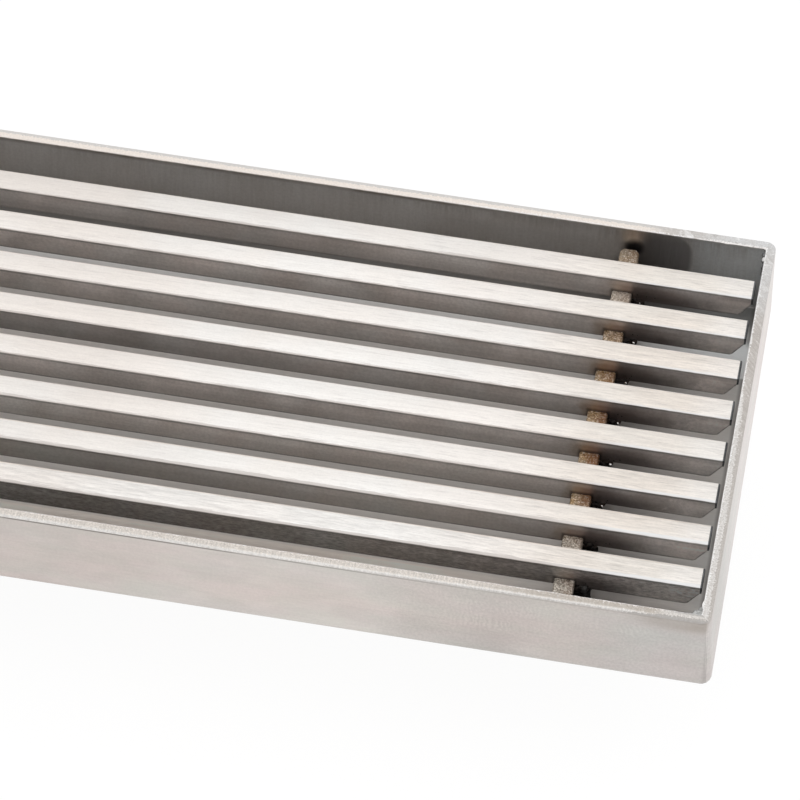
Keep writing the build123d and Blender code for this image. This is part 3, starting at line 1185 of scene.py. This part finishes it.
# weld beads under the bars, out from a support's face
weldBeadLook = {
    "overhang": 0.3 * mm,
    "bead": {
        "lumps": 5,
        "radii": (1.55 * mm, 1.15 * mm, 1.35 * mm),
        "swell": 0.18,
        "unevenness": 0.55,
        "out": 0.9 * mm,
        "wander": 0.25 * mm,
        "inset": 0.7 * mm,
        "below": 1.0 * mm,
    },
    "largeBead": {
        "shares": (-1.0, -0.3, 0.4, 1.0),
        "radii": (1.75 * mm, 1.3 * mm, 2.2 * mm),
        "unevenness": 0.5,
        "out": 1.55 * mm,
        "inset": 0.8 * mm,
        "below": 1.5 * mm,
    },
    "droplet": {
        "radius": 0.26 * mm,
        "swell": 0.4,
        "unevenness": 0.2,
        "out": 2.1 * mm,
        "wander": 0.35 * mm,
        "aside": 0.25 * mm,
        "below": 0.15 * mm,
    },
    "spatter": {
        "count": 6,
        "radius": 0.12 * mm,
        "radiusSpread": 0.08 * mm,
        "unevenness": 0.3,
        "out": 3.4 * mm,
        "outSpread": 3.0 * mm,
        "rise": 0.9 * mm,
        "riseSpread": 1.6 * mm,
        "sunk": 0.02 * mm,
    },
}
beadReach = barWidth / 2 + weldBeadLook["overhang"]


def addBead(mesh, face, side, across, seed):
    look = weldBeadLook["bead"]
    for step in range(look["lumps"]):
        share = 2 * step / (look["lumps"] - 1) - 1
        lean = noise.noise(Vector((seed, 2.0 * step, 0.5)))
        out = side * (look["out"] + look["wander"] * lean)
        centre = Vector((face + out, across + share * (beadReach - look["inset"]), barLow.z - look["below"]))
        radii = [radius * (1.0 + look["swell"] * lean) for radius in look["radii"]]
        addLump(mesh, centre, radii, seed + step, look["unevenness"])


def addLargeBead(mesh, face, side, across, seed):
    look = weldBeadLook["largeBead"]
    for share in look["shares"]:
        aside = share * (beadReach - look["inset"])
        centre = Vector((face + side * look["out"], across + aside, barLow.z - look["below"]))
        addLump(mesh, centre, look["radii"], seed + share, look["unevenness"], 2)


def addDroplets(mesh, face, side, across, seed, finish):
    look = weldBeadLook["droplet"]
    for flank in (-1, 1):
        wander = noise.noise(Vector((seed, 5.0 * flank, 1.5)))
        out = side * (look["out"] + look["wander"] * wander)
        tip = Vector((face + out, across + flank * (beadReach + look["aside"]), barLow.z - look["below"]))
        radius = look["radius"] * (1.0 + look["swell"] * wander)
        addLump(mesh, tip, [radius] * 3, seed, look["unevenness"], finish, 2)


def addSpatter(mesh, face, side, across, seed):
    look = weldBeadLook["spatter"]
    for speck in range(look["count"]):
        spread = Vector((seed, 1.9 * speck, 2.5))
        out = look["out"] + look["outSpread"] * noise.noise(spread)
        rise = look["rise"] + look["riseSpread"] * noise.noise(spread + Vector((0.0, 0.0, 7.0)))
        flank = -1 if speck % 2 else 1
        onSide = across + flank * (barWidth / 2 - look["sunk"])
        radius = look["radius"] + look["radiusSpread"] * abs(noise.noise(spread * 1.3))
        centre = Vector((face + side * out, onSide, barLow.z + rise))
        addLump(mesh, centre, [radius] * 3, seed + speck, look["unevenness"], divisions=1)


# a large sooty bead on the bar nearest the -Y wall, and droplets on the others, sooty on the second bar
def buildWeldBeads(name, place, number):
    mesh = bmesh.new()
    side = 1 if place > 0 else -1
    face = place + side * supportWidth / 2
    for order, across in enumerate(barPlaces):
        seed = 17.0 * number + 3.7 * order
        addBead(mesh, face, side, across, seed)
        if order == 0:
            addLargeBead(mesh, face, side, across, seed)
        else:
            addDroplets(mesh, face, side, across, seed, 1 if order > 1 else 2)
        addSpatter(mesh, face, side, across, seed)
    addPiece(name, mesh, [burntWeld, brightDroplet, sootyWeld])


for number, place in enumerate(supportPlaces, start=1):
    buildWeldBeads("weld_beads_%d" % number, place, number)
print("weld beads made")

# welds up the inner corners of the tray, wider at the top of the near ones
cornerWeldLook = {
    "seam": {
        "lumps": 13,
        "radius": 0.8 * mm,
        "swell": 0.3,
        "unevenness": 0.5,
        "nearDrop": 1.4 * mm,
        "farDrop": 1.6 * mm,
        "widening": 0.8,
        "wideningPower": 6,
        "wallLean": 0.045,
        "topGap": 0.15 * mm,
        "topStep": 0.04 * mm,
        "outerInset": 0.3 * sheet,
    },
    # spilled lumps beside the near corners: how far in along x and y and down, and their radius
    "spill": {
        "unevenness": 0.6,
        "lumps": [
            (2.3 * mm, 0.0, 1.6 * mm, 0.9 * mm),
            (1.3 * mm, 0.4 * mm, 1.7 * mm, 1.1 * mm),
            (0.5 * mm, 0.8 * mm, 1.8 * mm, 1.2 * mm),
            (0.1 * mm, 1.8 * mm, 1.9 * mm, 1.0 * mm),
        ],
    },
    # fill across the near corners, ground flat with the rim and lumpy inwards
    "fill": {
        "reach": 1.5 * mm,
        "depth": 3.0 * mm,
        "sunk": 0.03 * mm,
        "cuts": 7,
        "lumpSize": 0.55 * mm,
        "push": 0.3 * mm,
        "sag": 0.35 * mm,
        "sagSpread": 0.5 * mm,
    },
    # a flake in each far corner
    "flake": {
        "radii": (0.38 * mm, 0.6 * mm, 0.25 * mm),
        "place": (0.2 * mm, 2.7 * mm, 0.4 * mm),
        "unevenness": 0.6,
    },
}


# place inside a corner, from its inner edge at the rim
def inCorner(endSide, flank, inX, inY, down):
    return Vector((endSide * (rimInside - inX), flank * (wallInside - inY), rimTop - down))


def addSeam(mesh, endSide, flank, seed):
    look = cornerWeldLook["seam"]
    isNear = flank < 0
    limitX, limitY = rimHalf - look["outerInset"], trayHigh.y - look["outerInset"]
    top = rimTop - (look["nearDrop"] if isNear else look["farDrop"])
    for step in range(look["lumps"]):
        share = step / (look["lumps"] - 1)
        height = floorTop + share * (top - floorTop)
        lean = noise.noise(Vector((seed, 1.7 * step, 0.0)))
        widening = look["widening"] * share ** look["wideningPower"] if isNear else 0.0
        radius = look["radius"] * (1.0 + look["swell"] * lean) * (1.0 + widening)
        corner = inCorner(endSide, flank, -(rimTop - height) * look["wallLean"], 0.0, rimTop - height)
        limitZ = rimTop - look["topGap"] - look["topStep"] * step
        for vertex in addLump(mesh, corner, [radius] * 3, seed + step, look["unevenness"], int(isNear)):
            vertex.co.x = max(-limitX, min(limitX, vertex.co.x))
            vertex.co.y = max(-limitY, min(limitY, vertex.co.y))
            vertex.co.z = max(trayLow.z + 0.5 * sheet, min(limitZ, vertex.co.z))


def addFill(mesh, endSide, flank, seed):
    look = cornerWeldLook["fill"]
    spills = cornerWeldLook["spill"]
    for order, (inX, inY, down, radius) in enumerate(spills["lumps"]):
        spill = inCorner(endSide, flank, inX, inY, down)
        addLump(mesh, spill, [radius] * 3, seed + 0.9 * order, spills["unevenness"], 2)
    middle = inCorner(endSide, flank, 0.0, 0.0, look["depth"] / 2 + look["sunk"])
    side = look["reach"] * math.sqrt(2)
    turn = Matrix.Translation(middle) @ Matrix.Rotation(math.pi / 4, 4, "Z")
    before = len(mesh.verts)
    block = turn @ Matrix.Diagonal((side, side, look["depth"], 1.0))
    made = bmesh.ops.create_cube(mesh, size=1.0, matrix=block)["verts"]
    edges = list({edge for vertex in made for edge in vertex.link_edges})
    bmesh.ops.subdivide_edges(mesh, edges=edges, cuts=look["cuts"], use_grid_fill=True)
    made = list(mesh.verts)[before:]
    for vertex in made:
        inX, inY = rimInside - endSide * vertex.co.x, wallInside - flank * vertex.co.y
        inner = max(0.0, (inX + inY) / look["reach"])
        lumpy = noise.noise(vertex.co / look["lumpSize"] + Vector((seed, 0.0, 0.0)))
        vertex.co.x -= endSide * inner * lumpy * look["push"]
        vertex.co.y -= flank * inner * lumpy * look["push"]
        vertex.co.z -= inner * (look["sag"] + look["sagSpread"] * lumpy)
    paint(made, 2)


def buildCornerWelds():
    mesh = bmesh.new()
    for endSide in (-1, 1):
        for flank in (-1, 1):
            seed = 5.0 + 2.0 * endSide + 0.7 * flank
            addSeam(mesh, endSide, flank, seed)
            if flank < 0:
                addFill(mesh, endSide, flank, seed)
            else:
                flake = cornerWeldLook["flake"]
                centre = inCorner(endSide, flank, *flake["place"])
                addLump(mesh, centre, flake["radii"], seed, flake["unevenness"], 1, 2)
    addPiece("corner_welds", mesh, [dullWeld, seamWeld, fillWeld])


buildCornerWelds()

# lips that the shears left at the bars' ends
lipLook = {"reach": 0.38 * mm, "below": 0.15 * mm, "edge": 0.12 * mm, "lap": 0.2 * mm, "narrower": 0.1 * mm}


def buildBarEndLips():
    look = lipLook
    mesh = bmesh.new()
    bottom = barLow.z + endCutRise
    top = barHigh.z - look["below"]
    size = Matrix.Diagonal((look["reach"] + look["lap"], barWidth - look["narrower"], top - bottom, 1.0))
    for across in barPlaces:
        for side in (-1, 1):
            middle = (side * (barHalf + (look["reach"] - look["lap"]) / 2), across, (top + bottom) / 2)
            bmesh.ops.create_cube(mesh, size=1.0, matrix=Matrix.Translation(middle) @ size)
    rounding = {"offset": look["edge"], "segments": 2, "profile": 0.5}
    bmesh.ops.bevel(mesh, geom=mesh.edges[:], affect="EDGES", material=-1, **rounding)
    addPiece("bar_end_lips", mesh, [barEndShadedSteel])


buildBarEndLips()

# burr left along the rim's inner edge by grinding, widest near the corners
burrLook = {
    "spacing": 0.3 * mm,
    "reach": 0.16 * mm,
    "thickness": 0.22 * mm,
    "lap": 0.35 * mm,
    "lapDepth": 0.01 * mm,
    "lipDepth": 0.16 * mm,
    "flake": 0.8 * mm,
    "flakeFrom": 0.28,
    "roughSize": 0.9 * mm,
    "raggedSize": 3.5 * mm,
    "shares": (0.12, 0.5, 0.4),
    "middleShare": 0.35,
    "cornerReach": 14.0 * mm,
    "cornerGap": 0.9 * mm,
    "topGap": 0.005 * mm,
}


def addBurr(mesh, start, end, inward, seed):
    look = burrLook
    length = (end - start).length
    steps = int(length / look["spacing"])
    made = bmesh.ops.create_grid(mesh, x_segments=steps, y_segments=1, size=0.5)["verts"]
    least, roughShare, raggedShare = look["shares"]
    for vertex in made:
        share = vertex.co.x + 0.5
        rough = noise.noise(Vector((seed, share * length / look["roughSize"], 0.0)))
        ragged = noise.noise(Vector((seed, share * length / look["raggedSize"], 4.0)))
        corner = math.exp(-min(share, 1.0 - share) * length / look["cornerReach"])
        torn = least + roughShare * max(0.0, rough) + raggedShare * max(0.0, ragged)
        out = look["reach"] * torn * (look["middleShare"] + corner)
        out += look["flake"] * corner * max(0.0, ragged - look["flakeFrom"])
        spot = start.lerp(end, share)
        if vertex.co.y > 0:
            vertex.co = spot + inward * out - Vector((0.0, 0.0, look["lipDepth"]))
        else:
            vertex.co = spot - inward * look["lap"] - Vector((0.0, 0.0, look["lapDepth"]))
    faces = list({face for vertex in made for face in vertex.link_faces})
    bmesh.ops.solidify(mesh, geom=faces, thickness=look["thickness"])


def buildRimBurr():
    mesh = bmesh.new()
    x, y = rimInside - burrLook["cornerGap"], wallInside - burrLook["cornerGap"]
    for side in (-1, 1):
        start, end = Vector((-x, side * wallInside, rimTop)), Vector((x, side * wallInside, rimTop))
        addBurr(mesh, start, end, Vector((0, -side, 0)), 3.0 + side)
        start, end = Vector((side * rimInside, -y, rimTop)), Vector((side * rimInside, y, rimTop))
        addBurr(mesh, start, end, Vector((-side, 0, 0)), 9.0 + side)
    for vertex in mesh.verts:
        vertex.co.z = min(vertex.co.z, rimTop - burrLook["topGap"])
    addPiece("rim_burr", mesh, [rimSteel])


buildRimBurr()
print("corner welds, bar end lips and rim burr made")

# rippled weld round the spigot under the tray
ringLook = {
    "radius": 25.6 * mm,
    "section": 0.85 * mm,
    "below": 0.1 * mm,
    "corners": 8,
    "steps": 180,
    "ripples": 44,
    "rippleDepth": 0.10,
    "lumpDepth": 0.25,
    "lumpSize": 3.0 * mm,
}


def buildSpigotWeld():
    look = ringLook
    mesh = bmesh.new()
    height = trayLow.z - look["below"]
    section = bmesh.ops.create_circle(mesh, segments=look["corners"], radius=look["section"])["verts"]
    bmesh.ops.rotate(mesh, verts=section, cent=(0, 0, 0), matrix=Matrix.Rotation(math.pi / 2, 3, "X"))
    bmesh.ops.translate(mesh, verts=section, vec=(look["radius"], 0.0, height))
    bmesh.ops.spin(
        mesh,
        geom=mesh.edges[:],
        cent=(0, 0, 0),
        axis=(0, 0, 1),
        angle=2 * math.pi,
        steps=look["steps"],
        use_merge=True,
    )
    for vertex in mesh.verts:
        turn = math.atan2(vertex.co.y, vertex.co.x)
        swell = look["rippleDepth"] * math.cos(look["ripples"] * turn)
        swell += look["lumpDepth"] * noise.noise(vertex.co / look["lumpSize"])
        middle = Vector((math.cos(turn) * look["radius"], math.sin(turn) * look["radius"], height))
        vertex.co = middle + (vertex.co - middle) * (1.0 + swell)
    for face in mesh.faces:
        face.smooth = True
    addPiece("spigot_weld", mesh, [seamWeld])


buildSpigotWeld()
print("spigot weld made")

# floor and light
studioLook = {
    "floorSize": 6.0,
    "matte": (0.9, 0.9, 0.9, 1.0),
    "glow": 0.9,
    "shadow": (0.13, 0.13, 0.13, 1.0),
    "white": (1.0, 1.0, 1.0, 1.0),
    "light": 1.0,
}
floorMesh = bmesh.new()
bmesh.ops.create_grid(floorMesh, x_segments=1, y_segments=1, size=studioLook["floorSize"])
floorData = bpy.data.meshes.new("floor")
floorMesh.to_mesh(floorData)
floorMesh.free()
floor = bpy.data.objects.new("floor", floorData)
scene.collection.objects.link(floor)

# the floor is seen as white, with the object's shadow faint on it
floorPaint = bpy.data.materials.new("floor_paint")
floorPaint.use_nodes = True
tree = floorPaint.node_tree
tree.nodes.clear()
rays = addNode("ShaderNodeLightPath", {}, tree).outputs
seen = highest(highest(rays["Is Camera Ray"], rays["Is Glossy Ray"]), rays["Is Transmission Ray"])
matte = addNode("ShaderNodeBsdfDiffuse", {"Color": studioLook["matte"]}, tree)
glow = addNode("ShaderNodeEmission", {"Color": studioLook["white"], "Strength": studioLook["glow"]}, tree)
shaded = addNode("ShaderNodeBsdfDiffuse", {"Color": studioLook["shadow"]}, tree)
white = addNode("ShaderNodeAddShader", {0: glow.outputs[0], 1: shaded.outputs[0]})
mixed = addNode("ShaderNodeMixShader", {0: seen, 1: matte.outputs[0], 2: white.outputs[0]})
addNode("ShaderNodeOutputMaterial", {"Surface": mixed.outputs[0]})
floorData.materials.append(floorPaint)

world = bpy.data.worlds.new("studio")
scene.world = world
world.use_nodes = True
background = world.node_tree.nodes["Background"].inputs
background["Color"].default_value = studioLook["white"]
background["Strength"].default_value = studioLook["light"]
print("studio ready")

# camera
cameraView = {
    "azimuth": math.radians(8.085),
    "elevation": math.radians(49.372),
    "roll": math.radians(2.403),
    "distance": 1.07847,
    "target": (0.22945, 0.010836, 0.030),
    "lens": 240.75,
    "sensor": 36.0,
    "clip": (0.05, 50.0),
}
azimuth, elevation, roll = cameraView["azimuth"], cameraView["elevation"], cameraView["roll"]
level = math.cos(elevation)
back = Vector((math.sin(azimuth) * level, -math.cos(azimuth) * level, math.sin(elevation)))
right = Vector((math.cos(azimuth), math.sin(azimuth), 0.0))
up = back.cross(right)
turnedRight = math.cos(roll) * right + math.sin(roll) * up
turnedUp = math.cos(roll) * up - math.sin(roll) * right
cameraData = bpy.data.cameras.new("camera")
cameraData.lens = cameraView["lens"]
cameraData.sensor_width = cameraView["sensor"]
cameraData.clip_start, cameraData.clip_end = cameraView["clip"]
camera = bpy.data.objects.new("camera", cameraData)
scene.collection.objects.link(camera)
place = Matrix((turnedRight, turnedUp, back)).transposed().to_4x4()
place.translation = Vector(cameraView["target"]) + cameraView["distance"] * back
camera.matrix_world = place
scene.camera = camera
scene.view_settings.view_transform = "Standard"
print("camera set")
